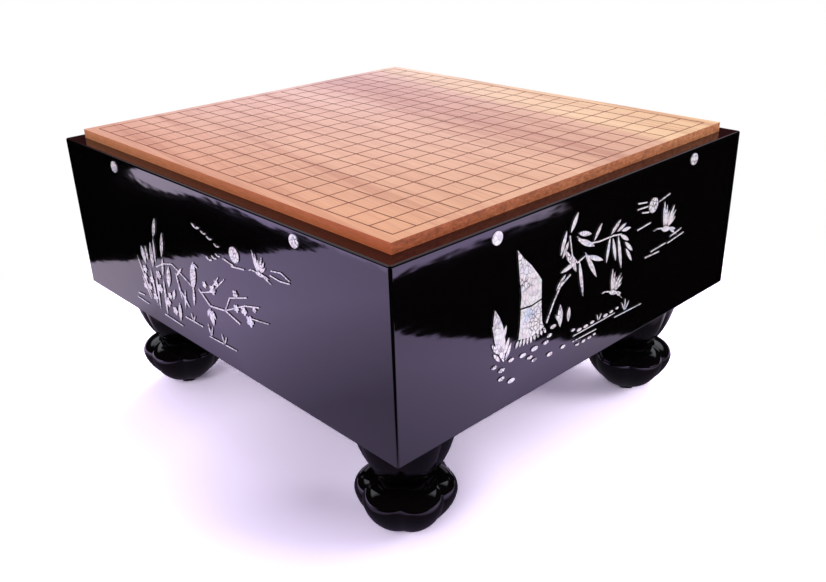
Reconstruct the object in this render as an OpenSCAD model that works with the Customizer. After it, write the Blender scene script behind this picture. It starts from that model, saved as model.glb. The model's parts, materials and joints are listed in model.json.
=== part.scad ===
// Floor-standing go board: a hollow lacquered case on four turned and carved legs, with a
// raised wooden playing board screwed into its rim and mother-of-pearl inlay on its sides.
// Millimetres. Origin: middle of the footprint on the floor. +Z up, players sit at -Y and +Y.

/* [Case] */
// Width of the case across the player's side
case_w = 424; // [400:1:480]
// Length of the case from one player to the other
case_l = 457; // [430:1:520]
// Height of the case without legs and playing board
case_h = 147; // [125:1:180]
// Thickness of the four case walls
wall_t = 14; // [12:0.5:20]
// Radius of the upright corners of the case
corner_r = 2; // [1:0.5:4]
// Thickness of the bottom panel
bottom_t = 12; // [9:0.5:16]
// Depth of the rebate in each wall that the bottom panel sits in
rebate_d = 7; // [4:0.5:8]

/* [Playing board] */
// Thickness of the playing board
board_t = 26; // [22:1:32]
// Height of the playing surface above the rim
board_rise = 8; // [5:0.5:10]
// Gap between the edge of the playing board and the walls
board_gap = 0.25; // [0.1:0.05:0.5]

/* [Grid] */
// Number of lines each way
lines = 19; // [9:2:19]
// Line spacing across the player's side
pitch_x = 20.8; // [18:0.1:21]
// Line spacing from player to player
pitch_y = 22.7; // [19:0.1:23]
// Width of a drawn line
line_w = 0.9; // [0.6:0.1:1.5]
// Height of the lacquer line above the wood
line_t = 0.15; // [0.1:0.05:0.3]

/* [Legs] */
// Height of a leg below the case
leg_h = 113.5; // [95:0.5:130]
// Distance from the leg's axis to the outer faces of the case
leg_inset = 59.5; // [56:0.5:80]
// Radius over the lobes at the widest part of the bulb
bulb_r = 41; // [34:0.5:44]
// Height of the widest part of the bulb
bulb_z = 38; // [26:1:44]
// Radius over the lobes at the neck
neck_r = 20; // [16:0.5:26]
// Height of the neck
neck_z = 54; // [48:0.5:75]
// Radius over the lobes at the top of the leg
crown_r = 43; // [34:0.5:44]
// Radius over the lobes of the small foot under the bulb
foot_r = 9; // [7:0.5:20]
// Height of the small foot
foot_h = 4; // [1:0.5:6]
// Fullness of the curve from the foot to the bulb, where 2 is a quarter of an ellipse
foot_curve = 1.6; // [1:0.05:2.5]
// Fullness of the curve from the bulb in to the neck
shoulder_curve = 2; // [1:0.05:2.5]
// Fullness of the curve from the neck out to the crown
crown_curve = 1.6; // [1:0.05:2.5]
// Number of lobes
lobes = 6; // [5:1:8]
// Distance of a lobe's own centre from the leg's axis, as a share of the radius
lobe_share = 0.44; // [0.4:0.02:0.6]
// Radius of the round tenon on top of the leg
tenon_r = 15; // [12:0.5:16]
// Length of the tenon
tenon_l = 38; // [28:1:40]
// Turn of the front left leg from where a groove points at the corner of the case
front_left_turn = -5; // [-36:1:36]
// Turn of the front right leg
front_right_turn = 20; // [-36:1:36]
// Turn of the back right leg
back_right_turn = 8; // [-36:1:36]
// Turn of the back left leg
back_left_turn = -17; // [-36:1:36]

/* [Joinery] */
// Thickness of the rails that carry the playing board
rail_t = 16; // [12:1:22]
// Height of the rails and of the battens
rail_h = 20; // [16:1:26]
// Width of a batten under the playing board
batten_w = 40; // [30:1:60]
// Distance between the middles of the two battens
batten_pitch = 200; // [140:5:260]
// Height of a corner block over the bottom panel
block_h = 30; // [28:1:40]
// Clearance around the tenon in its socket
tenon_gap = 0.05; // [0.03:0.01:0.1]
// Gap between the leg and the case
leg_gap = 0.3; // [0.2:0.05:0.5]

/* [Fixings] */
// Distance between the two screws of a front or back wall
screw_pitch_x = 249; // [180:1:300]
// Distance between the two screws of a left or right wall
screw_pitch_y = 262; // [180:1:320]
// How far the screws of the front and back walls sit to the right of the middle
screw_shift = 9.5; // [0:0.5:20]
// Depth of the screws below the rim
screw_drop = 9; // [7:0.5:12]
// Radius of a screw shank
shank_r = 2; // [1.5:0.25:2.5]
// Radius of a screw head
head_r = 3.9; // [3.5:0.1:4.5]
// Height of a screw head
head_h = 3; // [2:0.25:4]
// Length of a screw under its head
screw_l = 34; // [25:1:45]
// Radius of the pearl disc that hides a screw
cap_r = 5; // [4.8:0.1:6.5]
// Thickness of the pearl disc
cap_t = 1.4; // [1:0.1:2]
// Clearance around a screw in its holes and around its disc
fixing_gap = 0.1; // [0.05:0.05:0.2]

/* [Inlay] */
// Thickness of the pearl inlay on the lacquer
inlay_t = 0.2; // [0.1:0.05:0.4]
// Radius of the moon
moon_r = 6.5; // [4:0.5:9]
// Width of the stems, clouds and ground lines
stem_w = 1.2; // [0.8:0.1:2]

/* [Hidden] */
$fn = 64;

// Which way each side faces: the turn from the front side about the upright axis
FRONT = 0;
RIGHT = 90;
BACK = 180;
LEFT = 270;
rim_z = leg_h + case_h;
top_z = rim_z + board_rise;
seat_z = top_z - board_t;
screw_z = rim_z - screw_drop;
panel_z = leg_h + bottom_t;
leg_x = case_w / 2 - leg_inset;
leg_y = case_l / 2 - leg_inset;
inner_w = case_w - 2 * wall_t;
inner_l = case_l - 2 * wall_t;
board_w = inner_w - 2 * board_gap;
board_l = inner_l - 2 * board_gap;
// The head lies just behind the disc
head_z = cap_t + 2 * fixing_gap;
head_seat = head_z + head_h;
batten_end_gap = 2;
socket_end_gap = 1.5;
// How far the tenon reaches down into the crown
tenon_root = 12;
leg_sides = 8 * lobes;
foot_rings = 8;
shoulder_rings = 7;
crown_rings = 8;
// Overlap that joins two shapes of one solid
eps = 0.01;
// How far a cut runs past the face it starts from
past = 1;

// Half the case's depth behind the side that faces this way
function half_depth(side) = (side == FRONT || side == BACK) ? case_l / 2 : case_w / 2;
// Full length of the side that faces this way
function side_length(side) = (side == FRONT || side == BACK) ? case_w : case_l;
// Where the two screws of a side sit along it
function screw_places(side) =
    (side == FRONT || side == BACK)
        ? [screw_shift - screw_pitch_x / 2, screw_shift + screw_pitch_x / 2]
        : [-screw_pitch_y / 2, screw_pitch_y / 2];

// Puts a drawing on a side: x to the right as seen from outside, y up from the case's bottom
// edge, z out of the lacquer
module on_side(side) {
    rotate([0, 0, side])
        translate([0, -half_depth(side), leg_h])
            rotate([90, 0, 0])
                children();
}

// ---- Case ----

// Footprint of the case with true arcs at its corners
module footprint() {
    square([case_w - 2 * corner_r, case_l], center = true);
    square([case_w, case_l - 2 * corner_r], center = true);
    for (x = [-1, 1], y = [-1, 1])
        translate([x * (case_w / 2 - corner_r), y * (case_l / 2 - corner_r)])
            circle(r = corner_r);
}

// Mitred plan of one wall before its corners are rounded
module wall_plan(side) {
    reach = side_length(side) / 2;
    depth = half_depth(side);
    rotate(side)
        polygon([
            [-reach, -depth], [reach, -depth],
            [reach - wall_t, -depth + wall_t], [-reach + wall_t, -depth + wall_t]
        ]);
}

// Stepped hole for a screw, its head and its disc, bored in from the outside
module screw_holes(side) {
    on_side(side)
        for (x = screw_places(side))
            translate([x, case_h - screw_drop, 0]) {
                translate([0, 0, -wall_t - past])
                    cylinder(r = shank_r + fixing_gap, h = wall_t + 2 * past);
                translate([0, 0, -head_seat])
                    cylinder(r = head_r + fixing_gap, h = head_seat + past);
                translate([0, 0, -cap_t])
                    cylinder(r = cap_r + fixing_gap, h = cap_t + past);
            }
}

module wall(side) {
    color("#0b0a0c")
        difference() {
            translate([0, 0, leg_h])
                linear_extrude(case_h)
                    intersection() {
                        wall_plan(side);
                        footprint();
                    }
            panel_space();
            screw_holes(side);
        }
}

// Space that the bottom panel takes up in the rebates
module panel_space() {
    translate([-inner_w / 2 - rebate_d, -inner_l / 2 - rebate_d, leg_h - past])
        cube([inner_w + 2 * rebate_d, inner_l + 2 * rebate_d, bottom_t + past]);
}

module at_legs() {
    for (x = [-1, 1], y = [-1, 1])
        translate([x * leg_x, y * leg_y, 0])
            children();
}

module bottom_panel() {
    color("#141216")
        difference() {
            translate([-inner_w / 2 - rebate_d, -inner_l / 2 - rebate_d, leg_h])
                cube([inner_w + 2 * rebate_d, inner_l + 2 * rebate_d, bottom_t]);
            at_legs()
                translate([0, 0, leg_h - past])
                    cylinder(r = tenon_r + tenon_gap, h = bottom_t + 2 * past);
        }
}

// Block glued into a corner, with the upper part of the leg's socket
module block(x, y) {
    reach = leg_inset - wall_t;
    depth = tenon_l - leg_gap - bottom_t + socket_end_gap;
    color("#a8825a")
        difference() {
            translate([x * leg_x - reach, y * leg_y - reach, panel_z])
                cube([2 * reach, 2 * reach, block_h]);
            translate([x * leg_x, y * leg_y, panel_z - past])
                cylinder(r = tenon_r + tenon_gap, h = depth + past);
        }
}

// Rail glued to the inside of a wall. The left and right rails run the full length.
module rail(side) {
    full = side == LEFT || side == RIGHT;
    length = full ? inner_l : inner_w - 2 * rail_t;
    color("#a8825a")
        rotate([0, 0, side])
            translate([-length / 2, -half_depth(side) + wall_t, seat_z - rail_h])
                cube([length, rail_t, rail_h]);
}

// Batten glued across the grain under the playing board
module batten(y) {
    length = inner_w - 2 * rail_t - 2 * batten_end_gap;
    color("#a8825a")
        translate([-length / 2, y - batten_w / 2, seat_z - rail_h])
            cube([length, batten_w, rail_h]);
}

// ---- Playing board ----

module playing_board() {
    color("#e09a6c")
        difference() {
            translate([-board_w / 2, -board_l / 2, seat_z])
                cube([board_w, board_l, board_t]);
            for (side = [FRONT, RIGHT, BACK, LEFT])
                on_side(side)
                    for (x = screw_places(side))
                        translate([x, case_h - screw_drop, -head_seat])
                            translate([0, 0, -screw_l - past])
                                cylinder(r = shank_r + fixing_gap / 2, h = screw_l + past);
        }
}

// The lines are one lacquer film: a thin plate with the squares between the lines cut out
module grid_lines() {
    span_x = (lines - 1) * pitch_x;
    span_y = (lines - 1) * pitch_y;
    color("#3a2018")
        translate([0, 0, top_z])
            linear_extrude(line_t)
                difference() {
                    square([span_x + line_w, span_y + line_w], center = true);
                    for (i = [0 : lines - 2], j = [0 : lines - 2])
                        translate([
                            i * pitch_x - span_x / 2 + line_w / 2,
                            j * pitch_y - span_y / 2 + line_w / 2
                        ])
                            square([pitch_x - line_w, pitch_y - line_w]);
                }
}

// ---- Legs ----

// A point on a rounded quarter: [share of its height, share of its width], swept by an angle
function quarter(a, curve) = [1 - pow(cos(a), 2 / curve), pow(sin(a), 2 / curve)];

// Height and radius over the lobes, from the floor to the top of the leg: a bulb that rounds
// in to the neck, and a crown that spreads again below the case
function leg_profile() = [
    [0, foot_r],
    for (i = [0 : foot_rings])
        let (q = quarter(90 * i / foot_rings, foot_curve))
            [foot_h + (bulb_z - foot_h) * q[0], foot_r + (bulb_r - foot_r) * q[1]],
    for (i = [1 : shoulder_rings])
        let (q = quarter(90 - 90 * i / shoulder_rings, shoulder_curve))
            [neck_z - (neck_z - bulb_z) * q[0], neck_r + (bulb_r - neck_r) * q[1]],
    for (i = [1 : crown_rings])
        let (q = quarter(90 * i / crown_rings, crown_curve))
            [neck_z + (leg_h - leg_gap - neck_z) * q[0], neck_r + (crown_r - neck_r) * q[1]]
];

// Radius at an angle for a ring of round lobes: full in the middle of a lobe, with a sharp
// groove between two lobes and at 0
function lobed(r, a) =
    let (
        width = 360 / lobes,
        off = a % width - width / 2,
        centre = lobe_share * r,
        round = r - centre
    )
    centre * cos(off) + sqrt(max(0, pow(round, 2) - pow(centre * sin(off), 2)));

// One leg at a corner, turned in its socket
module leg(x, y, turn) {
    profile = leg_profile();
    rings = len(profile);
    points = [
        for (p = profile, i = [0 : leg_sides - 1])
            let (a = 360 * i / leg_sides, r = lobed(p[1], a))
                [r * cos(a), r * sin(a), p[0]]
    ];
    foot = [for (i = [0 : leg_sides - 1]) i];
    top = [for (i = [leg_sides - 1 : -1 : 0]) (rings - 1) * leg_sides + i];
    skin = [
        for (k = [0 : rings - 2], i = [0 : leg_sides - 1])
            let (j = (i + 1) % leg_sides)
                each [
                    [k * leg_sides + i, (k + 1) * leg_sides + i, k * leg_sides + j],
                    [k * leg_sides + j, (k + 1) * leg_sides + i, (k + 1) * leg_sides + j]
                ]
    ];
    color("#0b0a0c")
        translate([x * leg_x, y * leg_y, 0]) {
            rotate([0, 0, atan2(y, x) + turn])
                polyhedron(points, concat([foot], skin, [top]), convexity = 6);
            translate([0, 0, leg_h - leg_gap - tenon_root])
                cylinder(r = tenon_r, h = tenon_root + tenon_l);
        }
}

// ---- Fixings ----

module wall_screws() {
    color("#c9a95a")
        for (side = [FRONT, RIGHT, BACK, LEFT])
            on_side(side)
                for (x = screw_places(side))
                    translate([x, case_h - screw_drop, 0]) {
                        translate([0, 0, -head_seat])
                            cylinder(r = head_r, h = head_h);
                        translate([0, 0, -head_seat - screw_l])
                            cylinder(r = shank_r, h = screw_l + eps);
                    }
}

module screw_caps() {
    color("#e4dde6")
        for (side = [FRONT, RIGHT, BACK, LEFT])
            on_side(side)
                for (x = screw_places(side))
                    translate([x, case_h - screw_drop, -cap_t])
                        cylinder(r = cap_r, h = cap_t + inlay_t);
}

// ---- Inlay: plain shapes that the scenes are put together from ----

// Outline of a leaf from its base to its tip, as wide as w in the middle
function leaf(base, tip, w) =
    let (
        run = tip - base,
        across = [-run[1], run[0]] / norm(run),
        n = 6
    )
    concat(
        [for (i = [0 : n]) base + run * i / n + across * w / 2 * pow(sin(180 * i / n), 0.8)],
        [for (i = [n - 1 : -1 : 1]) base + run * i / n - across * w / 2 * pow(sin(180 * i / n), 0.8)]
    );

// Leaves given as [base x, base y, tip x, tip y, width]
module leaves(list) {
    for (p = list)
        polygon(leaf([p[0], p[1]], [p[2], p[3]], p[4]));
}

// A run of slim twigs through a list of points
module twig(points, w = stem_w) {
    for (i = [0 : len(points) - 2]) {
        run = points[i + 1] - points[i];
        across = [-run[1], run[0]] / norm(run) * w / 2;
        polygon([points[i] - across, points[i + 1] - across, points[i + 1] + across, points[i] + across]);
    }
}

// A five-petalled blossom
module blossom(at, r) {
    translate(at)
        polygon([
            for (i = [0 : 29])
                let (a = 12 * i)
                    r * (0.62 + 0.38 * abs(cos(2.5 * a))) * [cos(a), sin(a)]
        ]);
}

// Rounded pebbles given as [x, y, width]
module pebbles(list) {
    for (p = list)
        translate([p[0], p[1]])
            polygon([for (i = [0 : 9]) [p[2] / 2 * cos(36 * i), p[2] / 4.4 * sin(36 * i)]]);
}

// A crane flying to the left with raised wings, body at the origin
module crane(at, size = 1, tilt = 0) {
    translate(at)
        rotate(tilt)
            scale(size)
                leaves([
                    [-7, 0, 8, -3.5, 5], [-5, 0.4, -14, 2, 1.6], [-13, 2.4, -19, 1.2, 1.4],
                    [-3, 1, -5, 24, 3.6], [-1.5, 1, -0.5, 20, 3.4], [0, 1, 3.5, 14, 3],
                    [2, 1, 11, 17, 3.6], [3, 0.5, 14, 12, 3.2], [4, 0, 14, 6, 2.6],
                    [5, -2, 15, -9, 2.6], [6, -2, 16, -6, 2.2], [6, -3, 19, -12, 0.9]
                ]);
}

// A small bird far away: two wings
module far_bird(at, size) {
    x = at[0];
    y = at[1];
    leaves([
        [x, y, x - size, y + size * 0.5, size * 0.34],
        [x - size * 0.1, y, x + size, y + size * 0.3, size * 0.34]
    ]);
}

module pearl(side) {
    color("#e4dde6")
        on_side(side)
            linear_extrude(inlay_t)
                children();
}

// ---- Inlay: the scene on the front and back ----

module player_moon() {
    translate([76, 112])
        circle(r = moon_r);
    for (c = [[[53, 119], [66, 117]], [[53, 114], [68, 113]], [[60, 109.5], [70, 107.5]],
              [[55, 96], [74, 97.5]], [[84, 113], [100, 116]]])
        twig(c);
}

module player_cranes() {
    crane([98, 87]);
    crane([26, 52], 0.82, -6);
    for (c = [[[70, 67.5], [91, 67]], [[78, 70.5], [100, 72]], [[103, 71], [128, 74]],
              [[106, 76], [124, 79]]])
        twig(c);
}

module player_bamboo() {
    twig([[-59, 54], [-51, 69], [-44, 79], [-32, 85]], 1.6);
    twig([[-35, 117], [-31, 100], [-24, 92], [-14, 95]]);
    twig([[-26, 113.5], [-12, 104], [3, 101.5], [22, 101], [33, 99]]);
    leaves([
        [-34, 119, -26, 133, 4.2], [-45, 104, -39, 122, 4], [-43, 101, -36, 113, 3.4],
        [-25, 116, -8, 111, 4], [-25, 111, -3, 99.5, 4.6], [-4, 104, 5, 116, 3.4],
        [-40, 107, -30, 92, 4.2], [-33, 101, -25, 85, 4], [-22, 94, -14.5, 61, 3.8],
        [-15, 98, 2, 72, 4.4], [-12, 94, 9.5, 84, 4], [-25, 93, -44, 90, 3.8],
        [-38, 87, -49, 77, 3.2], [18, 103, 30, 112, 4], [17, 101, 14, 80, 3.4],
        [21, 99, 27, 78, 3.6], [28, 99, 35.5, 69, 3.8], [31, 99, 43.5, 91, 3.4],
        [32, 102, 45, 101.5, 3.2], [38, 91, 50, 80, 3.4], [40, 85, 50, 71, 3], [26, 103, 38, 107, 3]
    ]);
}

// A thick culm cut off at a slant, with a joint half way up and roots at its foot
module player_stump() {
    polygon([[-94, 123], [-87, 115], [-79, 107.5], [-71, 98], [-66.5, 92], [-66, 77], [-77, 75.5],
             [-89.5, 77], [-88.5, 86], [-91, 100], [-92.5, 112]]);
    polygon([[-89, 75.5], [-77, 74], [-66, 75.5], [-65.5, 68], [-64.5, 58], [-62, 52], [-76, 49],
             [-91, 52], [-89.5, 62]]);
    leaves([
        for (i = [0 : 8])
            let (x = -91 + 3.6 * i)
                [x, 51.5, x + (i - 4) * 0.7, 44 + abs(i - 4) * 0.5, 2.6]
    ]);
}

// One large bamboo shoot in its sheaths and two small ones
module player_shoots() {
    leaves([
        [-107, 40, -117, 85, 11], [-112, 60, -119.5, 73, 3.4], [-109, 57, -104.5, 69, 3.4],
        [-113, 49, -120, 59, 3.2], [-106, 46, -101.5, 58, 3.4], [-111, 42, -118, 50.5, 3],
        [-105, 41, -99, 53, 3.2], [-42, 44.5, -43, 64, 6], [-32, 45.5, -31.5, 58, 4.2],
        [-44, 50, -48, 57, 2.2]
    ]);
}

// Pebbles, lines of water and a tuft of grass
module player_stream() {
    pebbles([
        [-117, 39.5, 6], [-109, 34, 7], [-98.5, 38.5, 6], [-109, 27, 7], [-98, 21, 8], [-85.5, 37, 7],
        [-72, 37.5, 8], [-77.5, 32, 6.5], [-72, 28, 6], [-59, 37.5, 7], [-54.5, 42, 6.5],
        [-50.5, 48, 7], [-53.5, 25.5, 7], [-37, 25.5, 6], [-25, 35.5, 5], [-17, 32.8, 6],
        [-8.5, 32.8, 6], [0, 33.2, 5.5], [18, 32.8, 6], [26, 33.4, 5], [34, 33.8, 4.5],
        [-18.5, 20.5, 5], [-10.5, 20.2, 5], [-2.5, 20.5, 5], [4, 21, 4]
    ]);
    for (c = [[[-25, 30], [31, 30.4]], [[31, 26.4], [70, 25.4]], [[-25, 25.2], [6, 24.8]]])
        twig(c, 0.9);
    leaves([[45, 28, 40, 37, 1.4], [45.5, 28, 45, 39, 1.4], [46, 28, 51, 35, 1.4],
            [8, 32, 6, 38, 1.2], [9, 32, 12, 37, 1.2]]);
}

// ---- Inlay: the scene on the left and right ----

module guest_moon() {
    translate([52, 106])
        circle(r = moon_r);
    for (c = [[[35, 98.5], [49, 96.5]], [[46, 95], [64, 97.5]]])
        twig(c);
}

module guest_birds() {
    crane([84, 101], 0.72, 12);
    for (c = [[[100, 107], [112, 109], [122, 105.5]], [[98, 103], [110, 102], [122, 103.5]]])
        twig(c, 0.9);
    for (b = [[-1, 114, 6], [10, 112, 4], [18, 109.5, 4], [28, 106, 4], [14, 91, 4.5],
              [22, 94.5, 4], [28, 98, 3.5]])
        far_bird([b[0], b[1]], b[2]);
}

// Reeds and orchids that rise in a clump
module guest_reeds() {
    leaves([
        [-77, 86, -69, 106, 4.6], [-80, 62, -78, 85, 3], [-86, 56, -84.5, 80, 5.6],
        [-67, 71, -60, 95, 4.6], [-70, 52, -66, 70, 3], [-99, 56, -103, 72, 7],
        [-94, 60, -95, 74, 4], [-96, 22, -114, 60, 2.4], [-99, 21, -110, 42, 2.2],
        [-88, 18, -92, 54, 2.6], [-62, 44, -57, 65, 6.4], [-84, 16, -83, 50, 3],
        [-72, 14, -70, 50, 3.2], [-49, 16, -46.5, 34, 5.4], [-57, 34, -52, 45, 4]
    ]);
    for (b = [[-102.5, 50, 4], [-104, 42, 3.6], [-97.5, 34, 3.4], [-107, 32, 3], [-78, 51, 4.4],
              [-78.5, 38, 4.6], [-67.5, 28.5, 5], [-56, 23.5, 4.2], [-90, 26, 4], [-92, 42, 3.6],
              [-62, 36, 3.4]])
        blossom([b[0], b[1]], b[2]);
    twig([[-80, 58], [-66, 65], [-51, 69], [-36, 64], [-21, 58]], 1);
    leaves([[-46, 63, -40, 39, 2.2], [-41, 48, -29, 35, 2.6], [-33, 51, -37, 31, 2.2],
            [-45, 60, -34, 70, 2.4]]);
}

// A flowering plum branch with a bird on it
module guest_plum() {
    leaves([[-13, 82, -19.5, 55, 8.6], [-18, 57, -21, 40, 3.4], [-13, 80, -7, 78, 2.4],
            [4.5, 46, 8, 31, 6.6], [8, 45, 12, 38, 3], [3, 45, 0, 37, 2.6]]);
    twig([[-10, 59], [6, 48.5], [29, 52], [49, 47]], 1.4);
    twig([[29, 52], [38, 66], [63, 74]], 1);
    twig([[31, 53], [59, 66], [79, 71]], 1);
    twig([[62, 57], [90, 61]], 0.9);
    twig([[-6, 57], [12, 63], [33, 80]], 1);
    twig([[8, 62], [24, 79]], 0.9);
    for (b = [[13, 65, 4.4], [20, 73, 3.4], [1, 66, 3], [47, 72, 3.6], [46, 59.5, 3.6],
              [57, 61, 4], [64, 54.5, 5], [72, 67, 2.6]])
        blossom([b[0], b[1]], b[2]);
}

// Ground lines with tufts of grass
module guest_ground() {
    for (c = [[[-39, 23.6], [-11, 23.8]], [[-2, 18], [39, 19.4]], [[-127, 15], [-106, 14]],
              [[-77, 13.4], [-46, 12.2]], [[-124, 20], [-112, 21]]])
        twig(c, 1.1);
    leaves([[-26, 24, -28.5, 31, 1.4], [-25.5, 24, -22, 30, 1.4], [1, 19, -2, 30, 1.6],
            [1.5, 19, 5, 29, 1.6], [21, 19, 18, 27.5, 1.4], [21.5, 19, 25.5, 27, 1.4]]);
}

playing_board();
grid_lines();
wall(FRONT);  // front_wall
wall(RIGHT);  // right_wall
wall(BACK);  // back_wall
wall(LEFT);  // left_wall
bottom_panel();
rail(FRONT);  // front_rail
rail(RIGHT);  // right_rail
rail(BACK);  // back_rail
rail(LEFT);  // left_rail
batten(-batten_pitch / 2);  // front_batten
batten(batten_pitch / 2);  // back_batten
block(-1, -1);  // front_left_block
block(1, -1);  // front_right_block
block(1, 1);  // back_right_block
block(-1, 1);  // back_left_block
leg(-1, -1, front_left_turn);  // front_left_leg
leg(1, -1, front_right_turn);  // front_right_leg
leg(1, 1, back_right_turn);  // back_right_leg
leg(-1, 1, back_left_turn);  // back_left_leg
wall_screws();
screw_caps();
pearl(FRONT) player_moon();  // front_moon
pearl(FRONT) player_cranes();  // front_cranes
pearl(FRONT) player_bamboo();  // front_bamboo
pearl(FRONT) player_stump();  // front_stump
pearl(FRONT) player_shoots();  // front_shoots
pearl(FRONT) player_stream();  // front_stream
pearl(RIGHT) guest_moon();  // right_moon
pearl(RIGHT) guest_birds();  // right_birds
pearl(RIGHT) guest_reeds();  // right_reeds
pearl(RIGHT) guest_plum();  // right_plum
pearl(RIGHT) guest_ground();  // right_ground
pearl(BACK) player_moon();  // back_moon
pearl(BACK) player_cranes();  // back_cranes
pearl(BACK) player_bamboo();  // back_bamboo
pearl(BACK) player_stump();  // back_stump
pearl(BACK) player_shoots();  // back_shoots
pearl(BACK) player_stream();  // back_stream
pearl(LEFT) guest_moon();  // left_moon
pearl(LEFT) guest_birds();  // left_birds
pearl(LEFT) guest_reeds();  // left_reeds
pearl(LEFT) guest_plum();  // left_plum
pearl(LEFT) guest_ground();  // left_ground
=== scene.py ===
import json
import math

import bmesh
import bpy
from mathutils import Matrix, Vector


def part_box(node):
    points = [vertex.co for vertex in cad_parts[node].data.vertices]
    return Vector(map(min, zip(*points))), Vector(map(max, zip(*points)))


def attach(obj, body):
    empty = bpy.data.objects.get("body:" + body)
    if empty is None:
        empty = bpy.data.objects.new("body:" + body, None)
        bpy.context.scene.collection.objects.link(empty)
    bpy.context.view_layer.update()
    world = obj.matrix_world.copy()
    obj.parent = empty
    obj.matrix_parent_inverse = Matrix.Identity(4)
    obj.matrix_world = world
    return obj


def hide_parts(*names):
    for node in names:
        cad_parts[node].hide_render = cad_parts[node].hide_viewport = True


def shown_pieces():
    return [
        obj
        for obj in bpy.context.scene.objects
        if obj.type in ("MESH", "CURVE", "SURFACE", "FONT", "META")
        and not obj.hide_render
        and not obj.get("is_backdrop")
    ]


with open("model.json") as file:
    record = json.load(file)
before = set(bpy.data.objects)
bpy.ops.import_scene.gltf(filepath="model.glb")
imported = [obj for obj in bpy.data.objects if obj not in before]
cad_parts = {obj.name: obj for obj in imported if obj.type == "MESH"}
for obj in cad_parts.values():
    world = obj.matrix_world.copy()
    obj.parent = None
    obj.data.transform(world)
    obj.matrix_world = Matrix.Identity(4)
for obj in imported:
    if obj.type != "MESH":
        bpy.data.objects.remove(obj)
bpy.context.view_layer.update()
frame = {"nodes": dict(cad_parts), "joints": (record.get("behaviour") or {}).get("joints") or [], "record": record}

# ---- Measures taken from the frame, in metres ----

wall_low, wall_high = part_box("front_wall")
left_low, left_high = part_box("left_wall")
CASE_HALF_W = wall_high.x
CASE_HALF_L = left_high.y
CASE_BOTTOM = wall_low.z
RIM = wall_high.z
WALL = wall_high.y - wall_low.y
panel_low, panel_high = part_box("bottom_panel")
REBATE = WALL - (CASE_HALF_W - panel_high.x)
BOARD_LOW, BOARD_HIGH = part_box("playing_board")

# ---- Camera ----

SENSOR = 36.0
LENS = 38.54
CAMERA_PLACE = Vector((-0.5319, -0.5941, 0.4673))
CAMERA_AIM = Vector((0.0423, 0.0265, 0.0799))
CAMERA_ROLL = math.radians(-1.73)


def make_camera():
    """The pinhole camera that was fitted to the photograph."""
    data = bpy.data.cameras.new("camera")
    data.sensor_fit = "AUTO"
    data.sensor_width = SENSOR
    data.lens = LENS
    data.clip_start = 0.01
    data.clip_end = 100
    camera = bpy.data.objects.new("camera", data)
    turn = (CAMERA_AIM - CAMERA_PLACE).to_track_quat("-Z", "Y").to_matrix().to_4x4()
    roll = Matrix.Rotation(CAMERA_ROLL, 4, "Z")
    camera.matrix_world = Matrix.Translation(CAMERA_PLACE) @ turn @ roll
    bpy.context.scene.collection.objects.link(camera)
    bpy.context.scene.camera = camera
    bpy.context.view_layer.update()
    return camera


# ---- Materials ----


def add(tree, kind, inputs=None, **settings):
    """Adds a node. Inputs are values or another node's sockets."""
    made = tree.nodes.new("ShaderNode" + kind)
    for name, value in settings.items():
        setattr(made, name, value)
    for name, value in (inputs or {}).items():
        if isinstance(value, bpy.types.NodeSocket):
            tree.links.new(value, made.inputs[name])
        else:
            made.inputs[name].default_value = value
    return made


def maths(tree, operation, a, b=0.0, clamp=False):
    """One sum of two numbers or sockets."""
    return add(tree, "Math", {0: a, 1: b}, operation=operation, use_clamp=clamp).outputs[0]


def noise(tree, vector, scale, detail=3.0, roughness=0.5, distortion=0.0):
    """Smooth noise from about 0 to 1."""
    inputs = {"Vector": vector, "Scale": scale, "Detail": detail, "Roughness": roughness}
    inputs["Distortion"] = distortion
    return add(tree, "TexNoise", inputs).outputs["Fac"]


def ramp(tree, factor, stops):
    """Colour ramp with stops given as (place, colour or grey)."""
    made = add(tree, "ValToRGB", {"Fac": factor})
    elements = made.color_ramp.elements
    while len(elements) < len(stops):
        elements.new(0.5)
    for element, (place, colour) in zip(elements, stops):
        element.position = place
        element.color = (colour,) * 3 + (1,) if isinstance(colour, float) else (*colour, 1)
    return made.outputs["Color"]


def mix(tree, factor, a, b, blend="MIX"):
    """Two colours blended by a factor."""
    made = add(tree, "Mix", {"Factor": factor}, data_type="RGBA", blend_type=blend)
    for socket, value in ((made.inputs[6], a), (made.inputs[7], b)):
        if isinstance(value, bpy.types.NodeSocket):
            tree.links.new(value, socket)
        else:
            socket.default_value = (*value, 1)
    return made.outputs[2]


def stretched(tree, x=1.0, y=1.0, z=1.0, lean=0.0):
    """Object coordinates with each axis scaled, and x leaning with y as slanted grain does."""
    place = add(tree, "TexCoord").outputs["Object"]
    split = add(tree, "SeparateXYZ", {"Vector": place})
    leant = maths(tree, "MULTIPLY", split.outputs["Y"], lean)
    across = maths(tree, "SUBTRACT", split.outputs["X"], leant)
    axes = ((across, x), (split.outputs["Y"], y), (split.outputs["Z"], z))
    scaled = [maths(tree, "MULTIPLY", socket, factor) for socket, factor in axes]
    return add(tree, "CombineXYZ", {"X": scaled[0], "Y": scaled[1], "Z": scaled[2]}).outputs[0]


def between(tree, value, low, high):
    """0 at low and beyond it, 1 at high and beyond it, with a straight slope between.

    Low may be the larger of the two."""
    made = add(tree, "MapRange", {"Value": value, "From Min": low, "From Max": high})
    return made.outputs["Result"]


def bump(tree, height, distance):
    """A normal bent by a height, at half strength."""
    return add(tree, "Bump", {"Height": height, "Distance": distance, "Strength": 0.5}).outputs[0]


def new_material(name):
    """A material with its tree and its surface shader."""
    material = bpy.data.materials.new(name)
    material.use_nodes = True
    tree = material.node_tree
    return material, tree, tree.nodes["Principled BSDF"]


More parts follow.
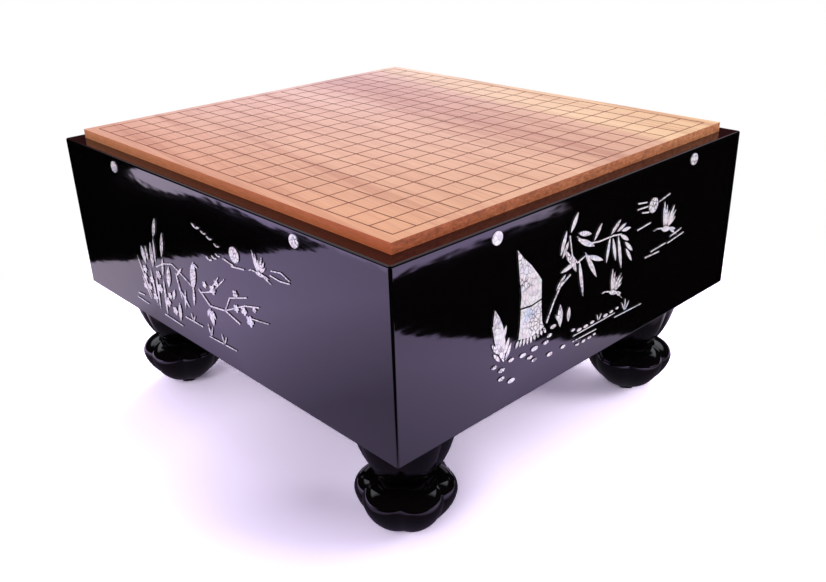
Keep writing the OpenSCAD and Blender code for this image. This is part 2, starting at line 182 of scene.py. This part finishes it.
def finish_surface(tree, shader, **sockets):
    """Sets the surface's own sockets from values or from other nodes."""
    for name, value in sockets.items():
        socket = shader.inputs[name.replace("_", " ").title().replace("Ior", "IOR")]
        if isinstance(value, bpy.types.NodeSocket):
            tree.links.new(value, socket)
        else:
            socket.default_value = value


# The grain leans by this much of x for each metre of y, and wanders by GRAIN_WANDER
GRAIN_LEAN = 0.124
GRAIN_WANDER = 0.012
# The pale sapwood band starts here, and the colours across run from -WOOD_HALF to WOOD_HALF
SAPWOOD_FROM = 0.1405
WOOD_HALF = 0.22
# Painted light makes the board's edges darker at the first of these values of x + y and paler and bluer at the
# last
BACK_LIGHT_FROM, BACK_LIGHT_TO = -0.40, 0.02


def face_colour(tree, place, fibres):
    """The playing face: orange to the left, mauve streaks, then sapwood, and a painted sheen that makes it paler
    and bluer to the back.
    """
    wander = noise(tree, stretched(tree, 9, 4, 9, GRAIN_LEAN), 1.0, 2.0)
    shift = maths(tree, "MULTIPLY", maths(tree, "SUBTRACT", wander, 0.5), GRAIN_WANDER)
    across = maths(tree, "ADD", place.outputs["X"], shift)
    share = maths(tree, "DIVIDE", maths(tree, "ADD", across, WOOD_HALF), 2 * WOOD_HALF)
    edge = (SAPWOOD_FROM + WOOD_HALF) / (2 * WOOD_HALF)
    wood = ramp(tree, share, [
        (0.0, (0.72, 0.28, 0.15)), (0.25, (0.77, 0.36, 0.23)), (0.55, (0.79, 0.40, 0.28)),
        (0.66, (0.66, 0.31, 0.23)), (edge - 0.02, (0.75, 0.38, 0.27)), (edge, (0.86, 0.49, 0.31)),
        (1.0, (0.84, 0.46, 0.27)),
    ])
    rings = noise(tree, stretched(tree, 75, 1.6, 40, GRAIN_LEAN), 1.0, 4.0, 0.6)
    streaks = ramp(tree, rings, [
        (0.32, (0.80, 0.70, 0.70)), (0.5, (1.0, 1.0, 1.0)), (0.7, (1.05, 1.08, 1.08)),
    ])
    blotch = noise(tree, stretched(tree, 16, 9, 16), 1.0, 3.0)
    cloud = ramp(tree, blotch, [(0.3, (0.94, 0.92, 0.93)), (0.7, (1.03, 1.03, 1.03))])
    # Painted sheen: the face is made paler and bluer toward the back
    sheen_to_back = between(tree, place.outputs["Y"], BOARD_LOW.y, BOARD_HIGH.y)
    painted_back_sheen = mix(tree, sheen_to_back, (0.94, 1.10, 1.04), (0.99, 1.30, 1.70))
    colour = wood
    for layer in (streaks, fibres, cloud, painted_back_sheen):
        colour = mix(tree, 1.0, colour, layer, "MULTIPLY")
    return colour


def edge_colours(tree, place, fibres):
    """The board's edges: end grain to the players and long grain to the sides, with painted light darker in front
    and paler to the back.
    """
    mottle = noise(tree, stretched(tree, 240, 240, 420), 1.0, 5.0, 0.7)
    end_grain = ramp(tree, mottle, [
        (0.3, (0.26, 0.06, 0.02)), (0.55, (0.66, 0.20, 0.07)), (0.75, (0.90, 0.38, 0.17)),
    ])
    long_grain = mix(tree, 1.0, (0.88, 0.28, 0.10), fibres, "MULTIPLY")
    diagonal = maths(tree, "ADD", place.outputs["X"], place.outputs["Y"])
    away = between(tree, diagonal, BACK_LIGHT_FROM, BACK_LIGHT_TO)
    # Painted light: the edges are darker toward the front left corner and paler, bluer toward the back
    painted_back_light = mix(tree, away, (0.70, 0.51, 0.46), (1.0, 1.25, 1.4))
    return [mix(tree, 1.0, grain, painted_back_light, "MULTIPLY") for grain in (end_grain, long_grain)]


def board_wood():
    """Old straight-grained softwood with bare edges."""
    material, tree, shader = new_material("board_wood")
    place = add(tree, "SeparateXYZ", {"Vector": stretched(tree, lean=GRAIN_LEAN)})
    fine = noise(tree, stretched(tree, 900, 14, 500, GRAIN_LEAN), 1.0, 5.0, 0.65)
    fibres = ramp(tree, fine, [(0.3, (0.84, 0.80, 0.78)), (0.62, (1.0, 1.0, 1.0))])
    end_grain, long_grain = edge_colours(tree, place, fibres)
    normal = add(tree, "NewGeometry").outputs["Normal"]
    facing = add(tree, "SeparateXYZ", {"Vector": normal})
    end = maths(tree, "POWER", maths(tree, "ABSOLUTE", facing.outputs["Y"]), 2.0, True)
    side = maths(tree, "POWER", maths(tree, "ABSOLUTE", facing.outputs["X"]), 2.0, True)
    colour = face_colour(tree, place, fibres)
    colour = mix(tree, maths(tree, "MULTIPLY", side, 0.95), colour, long_grain)
    colour = mix(tree, maths(tree, "MULTIPLY", end, 0.9), colour, end_grain)
    gloss = ramp(tree, fine, [(0.3, 0.58), (0.7, 0.46)])
    dents = bump(tree, fine, 0.00012)
    finish_surface(tree, shader, base_color=colour, roughness=gloss, normal=dents)
    shader.inputs["Specular IOR Level"].default_value = 0.5
    return material


def grid_lacquer():
    """Dark brown lines that have paled and worn thin in places."""
    material, tree, shader = new_material("grid_lacquer")
    worn = noise(tree, stretched(tree, 60, 60, 60), 1.0, 6.0, 0.7)
    colour = ramp(tree, worn, [
        (0.35, (0.13, 0.035, 0.02)), (0.6, (0.24, 0.075, 0.04)), (0.75, (0.42, 0.16, 0.09)),
    ])
    finish_surface(tree, shader, base_color=colour, roughness=0.4)
    return material


# On the rim's top the lacquer is painted maroon, a painted reflection of the board's side, and gleams less
RIM_PAINT_FROM, RIM_PAINT_TO = RIM - 0.0006, RIM - 0.0002
LACQUER_IOR, RIM_IOR_LOSS = 1.6, 0.27


def black_lacquer():
    """Polished black lacquer: deep gloss, faint waves, hairline rubs and dust, and a rim top painted maroon as a
    painted reflection.
    """
    material, tree, shader = new_material("black_lacquer")
    place = stretched(tree)
    dust = noise(tree, place, 900.0, 2.0, 0.6)
    specks = ramp(tree, dust, [(0.74, (0.0016, 0.0012, 0.0012)), (0.80, (0.012, 0.011, 0.012))])
    rubs = noise(tree, stretched(tree, 30, 30, 900), 1.0, 3.0, 0.6)
    rough = ramp(tree, rubs, [(0.4, 0.03), (0.72, 0.07)])
    waves = noise(tree, stretched(tree, 26, 26, 60), 1.0, 2.0)
    height = add(tree, "SeparateXYZ", {"Vector": place}).outputs["Z"]
    # Painted reflection: the rim's top is tinted maroon for the board's side mirrored in it
    painted_rim_reflection = between(tree, height, RIM_PAINT_FROM, RIM_PAINT_TO)
    colour = mix(tree, painted_rim_reflection, specks, (0.020, 0.004, 0.004))
    index = maths(tree, "SUBTRACT", LACQUER_IOR, maths(tree, "MULTIPLY", painted_rim_reflection, RIM_IOR_LOSS))
    uneven = bump(tree, waves, 0.00022)
    finish_surface(tree, shader, base_color=colour, roughness=rough, ior=index, normal=uneven)
    return material


def mother_of_pearl():
    """White shell with patches that lean to pink, green and blue, and dark hairline cracks."""
    material, tree, shader = new_material("mother_of_pearl")
    place = stretched(tree)
    hue = noise(tree, place, 70.0, 3.0, 0.5, 0.6)
    tint = ramp(tree, hue, [
        (0.30, (0.74, 0.84, 0.98)), (0.42, (0.98, 0.92, 0.99)), (0.5, (1.0, 1.0, 0.98)),
        (0.6, (1.0, 0.88, 0.92)), (0.72, (0.82, 0.93, 0.88)),
    ])
    flake = add(tree, "TexVoronoi", {"Vector": place, "Scale": 260.0}).outputs["Color"]
    shade = ramp(tree, flake, [(0.0, (0.70, 0.68, 0.74)), (0.5, (1.0, 1.0, 1.0))])
    plates = {"Vector": stretched(tree, 300, 300, 230), "Scale": 1.0}
    cells = add(tree, "TexVoronoi", plates, feature="DISTANCE_TO_EDGE")
    cracks = ramp(tree, cells.outputs["Distance"], [(0.03, (0.03, 0.02, 0.03)), (0.10, (1.0, 1.0, 1.0))])
    colour = mix(tree, 1.0, tint, shade, "MULTIPLY")
    worn = ramp(tree, noise(tree, place, 45.0, 3.0, 0.6), [(0.42, 0.25), (0.6, 0.95)])
    colour = mix(tree, worn, colour, mix(tree, 1.0, colour, cracks, "MULTIPLY"))
    finish_surface(tree, shader, base_color=colour, roughness=0.22)
    shader.inputs["Metallic"].default_value = 0.1
    shader.inputs["Coat Weight"].default_value = 0.5
    shader.inputs["Coat Roughness"].default_value = 0.05
    return material


def inner_wood():
    """Bare planed softwood inside the case."""
    material, tree, shader = new_material("inner_wood")
    grain = noise(tree, stretched(tree, 260, 260, 20), 1.0, 4.0, 0.6)
    colour = ramp(tree, grain, [(0.3, (0.42, 0.27, 0.14)), (0.6, (0.60, 0.43, 0.26))])
    finish_surface(tree, shader, base_color=colour, roughness=0.65, normal=bump(tree, grain, 0.0002))
    return material


def screw_brass():
    """Turned brass, dull and a little uneven."""
    material, tree, shader = new_material("screw_brass")
    turned = noise(tree, stretched(tree, 400, 400, 400), 1.0, 3.0)
    colour = ramp(tree, turned, [(0.3, (0.50, 0.34, 0.12)), (0.7, (0.72, 0.54, 0.24))])
    finish_surface(tree, shader, base_color=colour, roughness=0.32, metallic=1.0)
    return material


MATERIALS = {
    "board_wood": board_wood(),
    "grid_lacquer": grid_lacquer(),
    "black_lacquer": black_lacquer(),
    "pearl": mother_of_pearl(),
    "inner_wood": inner_wood(),
    "brass": screw_brass(),
}


def dress_nodes():
    """Gives every CAD node the material of its slot in the record."""
    slots = {part["node"]: part["material_slot"] for part in frame["record"]["subparts"]}
    for name, obj in frame["nodes"].items():
        obj.data.materials.clear()
        obj.data.materials.append(MATERIALS[slots[name]])


# ---- Pieces ----


def new_piece(name, mesh, slot, body, replaced, sharp):
    """Links a piece, smooth but for edges over a number of degrees, and binds it."""
    mesh.polygons.foreach_set("use_smooth", [True] * len(mesh.polygons))
    mesh.set_sharp_from_angle(angle=math.radians(sharp))
    piece = bpy.data.objects.new(name, mesh)
    mesh.materials.append(MATERIALS[slot])
    bpy.context.scene.collection.objects.link(piece)
    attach(piece, body)
    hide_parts(*replaced)


def arc(centre, radius, start, end, steps):
    """Points of an arc in a section, angles in degrees."""
    angles = [math.radians(start + (end - start) * i / steps) for i in range(steps + 1)]
    return [(centre[0] + radius * math.cos(a), centre[1] + radius * math.sin(a)) for a in angles]


# Radii of the case's rounded edges, and how far beside an arc a point holds the flat face flat
CORNER = 0.002
CORNER_LEAST = 0.0002
CORNER_STEPS = 10
RIM_ROUND = 0.0016
INNER_ROUND = 0.0006
FOOT_ROUND = 0.0010
HOLD = 0.0003


def rounded_loop(inset, z):
    """A loop around the case, this far in from its outer faces, at height z.

    A point HOLD beyond each end of a corner's arc keeps the flat faces' shading flat."""
    radius = max(CORNER - inset, CORNER_LEAST)
    half_w, half_l = CASE_HALF_W - inset - radius, CASE_HALF_L - inset - radius
    loop = []
    for corner, (x, y) in enumerate(((1, 1), (-1, 1), (-1, -1), (1, -1))):
        angles = [90 * (corner + step / CORNER_STEPS) for step in range(CORNER_STEPS + 1)]
        turned = [Vector((math.cos(math.radians(a)), math.sin(math.radians(a)), 0)) for a in angles]
        centre = Vector((x * half_w, y * half_l, z))
        arc_points = [centre + radius * out for out in turned]
        before = arc_points[0] + HOLD * Vector((turned[0].y, -turned[0].x, 0))
        after = arc_points[-1] + HOLD * Vector((-turned[-1].y, turned[-1].x, 0))
        loop += [before, *arc_points, after]
    return loop


def skin_between(bm, loops, closed=True):
    """Joins rings of vertices with quads; closed joins the last ring to the first."""
    rings = [[bm.verts.new(p) for p in loop] for loop in loops]
    pairs = list(zip(rings, rings[1:])) + ([(rings[-1], rings[0])] if closed else [])
    for low, high in pairs:
        for i in range(len(low)):
            j = (i + 1) % len(low)
            bm.faces.new((low[i], low[j], high[j], high[i]))
    return rings


def case_coat():
    """The lacquer over the four mitred walls: one skin with rounded arrises and no open joint."""
    section = arc((FOOT_ROUND, CASE_BOTTOM + FOOT_ROUND), FOOT_ROUND, 270, 180, 5)
    section += [(0, CASE_BOTTOM + FOOT_ROUND + HOLD), (0, RIM - RIM_ROUND - HOLD)]
    section += arc((RIM_ROUND, RIM - RIM_ROUND), RIM_ROUND, 180, 90, 8)
    section += [(RIM_ROUND + HOLD, RIM), (WALL - INNER_ROUND - HOLD, RIM)]
    section += arc((WALL - INNER_ROUND, RIM - INNER_ROUND), INNER_ROUND, 90, 0, 4)
    section += [(WALL, panel_high.z), (WALL - REBATE, panel_high.z), (WALL - REBATE, CASE_BOTTOM)]
    bm = bmesh.new()
    skin_between(bm, [rounded_loop(inset, z) for inset, z in section])
    bmesh.ops.recalc_face_normals(bm, faces=bm.faces)
    mesh = bpy.data.meshes.new("case_coat")
    bm.to_mesh(mesh)
    bm.free()
    walls = [side + "_wall" for side in ("front", "right", "back", "left")]
    new_piece("case_coat", mesh, "black_lacquer", "case", walls, 40)


# The carved legs, with the sizes of the part's source in metres: radii, heights and curves

LOBES = 6
LOBE_SHARE = 0.44
FOOT_R, BULB_R, NECK_R, CROWN_R = 0.009, 0.041, 0.020, 0.043
FOOT_H, BULB_Z, NECK_Z = 0.004, 0.038, 0.054
FOOT_CURVE, SHOULDER_CURVE, CROWN_CURVE = 1.6, 2.0, 1.6
LEG_GAP = 0.0003
# Degrees from where a groove points at the corner of the case
LEG_TURNS = {"front_left_leg": -5, "front_right_leg": 20, "back_right_leg": 8, "back_left_leg": -17}
LEG_STEPS = 20
PROFILE_STEPS = 16
TENON_R, TENON_L = 0.015, 0.038
LEG_AXES = {joint["child"]: joint["pos_m"] for joint in frame["joints"]}


def quarter(a, curve):
    """A point on a rounded quarter: its share of the height and of the width."""
    return 1 - max(math.cos(a), 0) ** (2 / curve), max(math.sin(a), 0) ** (2 / curve)


def leg_profile(top):
    """Heights and radii over the lobes, from the floor to the top of the leg."""
    turns = [math.pi / 2 * i / PROFILE_STEPS for i in range(PROFILE_STEPS + 1)]
    points = [(0, FOOT_R)]
    for up, out in (quarter(a, FOOT_CURVE) for a in turns):
        points.append((FOOT_H + (BULB_Z - FOOT_H) * up, FOOT_R + (BULB_R - FOOT_R) * out))
    for up, out in (quarter(a, SHOULDER_CURVE) for a in turns[-2::-1]):
        points.append((NECK_Z - (NECK_Z - BULB_Z) * up, NECK_R + (BULB_R - NECK_R) * out))
    for up, out in (quarter(a, CROWN_CURVE) for a in turns[1:]):
        points.append((NECK_Z + (top - NECK_Z) * up, NECK_R + (CROWN_R - NECK_R) * out))
    return points


def lobed(radius, angle):
    """Radius at an angle: full in the middle of a lobe, with a sharp groove between two."""
    width = 2 * math.pi / LOBES
    off = angle % width - width / 2
    centre = LOBE_SHARE * radius
    reach = math.sqrt((radius - centre) ** 2 - (centre * math.sin(off)) ** 2)
    return centre * math.cos(off) + reach


def ring(x, y, z, angles, radii):
    """A loop around an upright axis."""
    return [Vector((x + r * math.cos(a), y + r * math.sin(a), z)) for a, r in zip(angles, radii)]


def carved_leg(name):
    """A leg with its tenon, which replaces the part's coarser one."""
    x, y, _ = LEG_AXES[name]
    corner = math.atan2(math.copysign(1, y), math.copysign(1, x))
    start = corner + math.radians(LEG_TURNS[name])
    steps = LOBES * LEG_STEPS
    angles = [2 * math.pi * i / steps for i in range(steps)]
    turned = [a + start for a in angles]
    top = CASE_BOTTOM - LEG_GAP
    loops = [ring(x, y, z, turned, [lobed(radius, a) for a in angles]) for z, radius in leg_profile(top)]
    loops += [ring(x, y, z, turned, [TENON_R] * steps) for z in (top, top + TENON_L)]
    bm = bmesh.new()
    rings = skin_between(bm, loops, closed=False)
    bm.faces.new(rings[0])
    bm.faces.new(rings[-1])
    bmesh.ops.recalc_face_normals(bm, faces=bm.faces)
    mesh = bpy.data.meshes.new(name + "_carved")
    bm.to_mesh(mesh)
    bm.free()
    new_piece(name + "_carved", mesh, "black_lacquer", name, [name], 35)


def round_arrises(node, width, segments=3):
    """Softens the sharp edges of a CAD node without touching its mesh."""
    bevel = frame["nodes"][node].modifiers.new("arris", "BEVEL")
    bevel.width = width
    bevel.segments = segments
    bevel.limit_method = "ANGLE"
    bevel.angle_limit = math.radians(50)


# ---- Studio ----

# The white paper under the object, as the lacquer mirrors it, painted as a glow that only glossy rays see: it runs
# along PAPER_RUN, with dark cloth beyond its sides and its front end, and two glowing patches out on the cloth
# that paint reflections.
PAPER_RUN = Vector((0.78, 0.62, 0)).normalized()
PAPER_ACROSS = (PAPER_RUN.y, -PAPER_RUN.x, 0)
PAPER_LEFT, PAPER_RIGHT, PAPER_FRONT = -0.646, 0.467, -0.47
SIDE_BLUR, FRONT_BLUR = 0.003, 0.02
# The paper's right side bows inward by PAPER_BOW, with its middle and half length along the run
PAPER_BOW, BOW_MIDDLE, BOW_HALF = 0.045, -0.09, 0.19
# Each glowing patch, a painted reflection, lies beyond one line, and fades in and out between the pairs along it
LEFT_PATCH_X, RIGHT_PATCH_Y = -0.602, -0.664
LEFT_FADES = ((0.95, 0.93), (0.2, 0.22))
RIGHT_FADES = ((0.12, 0.15), (0.56, 0.52))
LEFT_BULGE, BULGE_MIDDLE, BULGE_HALF = -0.032, 0.82, 0.13
PATCH_GLOW_LEVEL, MIRROR_LEVEL = 1.5, 1.4
# Painted shade on the mirrored paper, about SHADE_MIDDLE and close to the case: it lifts between these distances
SHADE_MIDDLE = Vector((-0.25, -0.15, 0))
SHADE_REACH = (0.19, 0.43)
UNDER_REACH = (0.035, 0.155)
# A painted shadow makes the paper dimmest to the camera beside the front left leg
PAINTED_SHADOW_PLACE = (-0.18, -0.09, 0)
PAINTED_SHADOW_REACH = (0.0, 0.16)
# The lit paper turns to plain white between these distances from the origin
PLAIN_REACH = (0.42, 0.62)
FLOOR_SIZE = 30.0


def both(tree, *factors):
    """The product of all factors."""
    made = factors[0]
    for factor in factors[1:]:
        made = maths(tree, "MULTIPLY", made, factor)
    return made


def hump(tree, value, middle, half):
    """1 at the middle, falling to 0 this far to either side."""
    off = maths(tree, "DIVIDE", maths(tree, "SUBTRACT", value, middle), half)
    return maths(tree, "SUBTRACT", 1.0, maths(tree, "MULTIPLY", off, off), True)


def dot(tree, place, direction):
    made = add(tree, "VectorMath", {0: place, 1: tuple(direction)}, operation="DOT_PRODUCT")
    return made.outputs["Value"]


def distance(tree, place, other):
    made = add(tree, "VectorMath", {0: place, 1: tuple(other)}, operation="DISTANCE")
    return made.outputs["Value"]


def lightened(tree, factor, lowest):
    """From lowest at 0 to 1 at 1."""
    return maths(tree, "ADD", maths(tree, "MULTIPLY", factor, 1 - lowest), lowest)


def lit_paper(tree, along, across):
    """1 on the strip of paper that the lacquer mirrors."""
    bow = maths(tree, "MULTIPLY", hump(tree, along, BOW_MIDDLE, BOW_HALF), PAPER_BOW)
    bowed = maths(tree, "ADD", across, bow)
    return both(
        tree, between(tree, across, PAPER_LEFT - SIDE_BLUR, PAPER_LEFT + SIDE_BLUR),
        between(tree, bowed, PAPER_RIGHT + SIDE_BLUR, PAPER_RIGHT - SIDE_BLUR),
        between(tree, along, PAPER_FRONT - FRONT_BLUR, PAPER_FRONT + FRONT_BLUR),
    )


def glowing_patch(tree, off, line, along, fades):
    """1 beyond a line, between its two fades."""
    beyond = between(tree, off, line + SIDE_BLUR, line - SIDE_BLUR)
    return both(tree, beyond, *(between(tree, along, *fade) for fade in fades))


def mirrored_floor(tree, place):
    """What the lacquer sees of the floor, painted as a glow: lit paper with painted shade near the object, dark
    cloth, and two glowing patches.
    """
    split = add(tree, "SeparateXYZ", {"Vector": place})
    x, y = split.outputs["X"], split.outputs["Y"]
    along, across = dot(tree, place, PAPER_RUN), dot(tree, place, PAPER_ACROSS)
    paper = lit_paper(tree, along, across)
    bulge = maths(tree, "MULTIPLY", hump(tree, y, BULGE_MIDDLE, BULGE_HALF), LEFT_BULGE)
    edge = maths(tree, "ADD", x, bulge)
    # Painted reflections: two patches of the floor glow for the lacquer to mirror
    left = glowing_patch(tree, edge, LEFT_PATCH_X, y, LEFT_FADES)
    right = glowing_patch(tree, y, RIGHT_PATCH_Y, x, RIGHT_FADES)
    glowing_patches = maths(tree, "MULTIPLY", maths(tree, "MAXIMUM", left, right), PATCH_GLOW_LEVEL)
    lit = maths(tree, "MAXIMUM", paper, glowing_patches)
    # Painted shade: the mirrored paper's glow is dimmed near the object and under the case
    shade = lightened(tree, between(tree, distance(tree, place, SHADE_MIDDLE), *SHADE_REACH), 0.4)
    out_x = maths(tree, "SUBTRACT", maths(tree, "ABSOLUTE", x), CASE_HALF_W)
    out_y = maths(tree, "SUBTRACT", maths(tree, "ABSOLUTE", y), CASE_HALF_L)
    out = maths(tree, "MAXIMUM", out_x, out_y)
    under = lightened(tree, between(tree, out, *UNDER_REACH), 0.06)
    level = both(tree, lit, maths(tree, "MINIMUM", shade, under))
    colour = mix(tree, between(tree, along, -0.12, 0.02), (0.84, 0.66, 1.15), (0.90, 0.76, 1.02))
    strength = maths(tree, "MULTIPLY", level, MIRROR_LEVEL)
    return add(tree, "Emission", {"Color": colour, "Strength": strength})


def floor_material():
    """White floor that keeps the shadow, with a painted shadow beside the front left leg, and what glossy surfaces
    mirror of it.
    """
    material, tree, shader = new_material("floor")
    tree.nodes.remove(shader)
    output = tree.nodes["Material Output"]
    light = add(tree, "LightPath")
    place = add(tree, "NewGeometry").outputs["Position"]
    camera_ray, glossy_ray = light.outputs["Is Camera Ray"], light.outputs["Is Glossy Ray"]
    # Painted shadow: the paper the camera sees is darkened beside the front left leg
    beside = between(tree, distance(tree, place, PAINTED_SHADOW_PLACE), *PAINTED_SHADOW_REACH)
    paper = mix(tree, beside, (1.25, 1.12, 1.42), (2.2, 1.98, 2.43))
    near = add(tree, "BsdfDiffuse", {"Color": mix(tree, camera_ray, (0.78, 0.74, 0.80), paper)})
    white = add(tree, "Emission", {"Color": (1, 1, 1, 1), "Strength": 1.0})
    away = add(tree, "VectorMath", {0: place}, operation="LENGTH").outputs["Value"]
    far = maths(tree, "MULTIPLY", camera_ray, between(tree, away, *PLAIN_REACH))
    seen = add(tree, "MixShader", {0: far, 1: near.outputs[0], 2: white.outputs[0]})
    mirrored = mirrored_floor(tree, place)
    made = add(tree, "MixShader", {0: glossy_ray, 1: seen.outputs[0], 2: mirrored.outputs[0]})
    tree.links.new(made.outputs[0], output.inputs["Surface"])
    return material


def make_floor():
    """A flat floor, declared as stage."""
    mesh = bpy.data.meshes.new("floor")
    half = FLOOR_SIZE / 2
    corners = [(-half, -half, 0), (half, -half, 0), (half, half, 0), (-half, half, 0)]
    mesh.from_pydata(corners, [], [(0, 1, 2, 3)])
    floor = bpy.data.objects.new("floor", mesh)
    mesh.materials.append(floor_material())
    bpy.context.scene.collection.objects.link(floor)
    floor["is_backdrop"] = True


# The ceiling is mirrored above CEILING_FROM, and only in the half of the sky behind the object
CEILING_FROM = (0.42, 0.50)
BEHIND = (0.68, 0.73, 0.0)
BEHIND_FROM = (0.02, 0.2)


def make_world():
    """White to the camera; a soft lavender studio, with a pale ceiling mirrored in the arrises."""
    world = bpy.data.worlds.new("studio")
    bpy.context.scene.world = world
    world.use_nodes = True
    tree = world.node_tree
    background = tree.nodes["Background"]
    light = add(tree, "LightPath")
    direction = add(tree, "TexCoord").outputs["Generated"]
    height = add(tree, "SeparateXYZ", {"Vector": direction}).outputs["Z"]
    behind = dot(tree, direction, BEHIND)
    lit = both(tree, between(tree, height, *CEILING_FROM), between(tree, behind, *BEHIND_FROM))
    ceiling = mix(tree, lit, (0.012, 0.010, 0.012), (1.0, 1.02, 1.12))
    white = maths(tree, "MAXIMUM", light.outputs["Is Camera Ray"], light.outputs["Is Transmission Ray"])
    studio = mix(tree, light.outputs["Is Glossy Ray"], (0.52, 0.49, 0.56), ceiling)
    tree.links.new(mix(tree, white, studio, (1.0, 1.0, 1.0)), background.inputs["Color"])
    background.inputs["Strength"].default_value = 1.0


def softbox(name, place, aim, size, watts):
    """A white lamp that lights and isn't mirrored."""
    data = bpy.data.lights.new(name, "AREA")
    data.shape = "RECTANGLE"
    data.size, data.size_y = size
    data.energy = watts
    lamp = bpy.data.objects.new(name, data)
    lamp.location = place
    lamp.visible_glossy = False
    lamp.rotation_euler = (Vector(aim) - Vector(place)).to_track_quat("-Z", "Y").to_euler()
    bpy.context.scene.collection.objects.link(lamp)


def light_studio():
    """Three softboxes and the plain view transform."""
    softbox("key", (0.75, 0.5, 1.75), (0, 0, 0.1), (1.5, 1.3), 23)
    softbox("side", (1.1, -1.5, 0.9), (0, 0, 0.15), (0.9, 0.7), 13)
    softbox("fill", (-1.5, -0.9, 1.2), (0, 0, 0.15), (0.8, 0.8), 12)
    bpy.context.scene.view_settings.view_transform = "Standard"


# ---- Points ----


def shown_corners():
    """The vertices of everything that shows, as finished and placed."""
    graph = bpy.context.evaluated_depsgraph_get()
    corners = []
    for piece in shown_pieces():
        shown = piece.evaluated_get(graph)
        mesh = shown.to_mesh()
        corners += [shown.matrix_world @ v.co for v in mesh.vertices]
        shown.to_mesh_clear()
    return corners


def write_points():
    """Gathers the vertices of everything that shows, as finished and placed."""
    corners = shown_corners()


# ---- Making ----

camera = make_camera()
dress_nodes()
case_coat()
for leg in LEG_TURNS:
    carved_leg(leg)
round_arrises("playing_board", 0.0007)
make_floor()
make_world()
light_studio()
write_points()
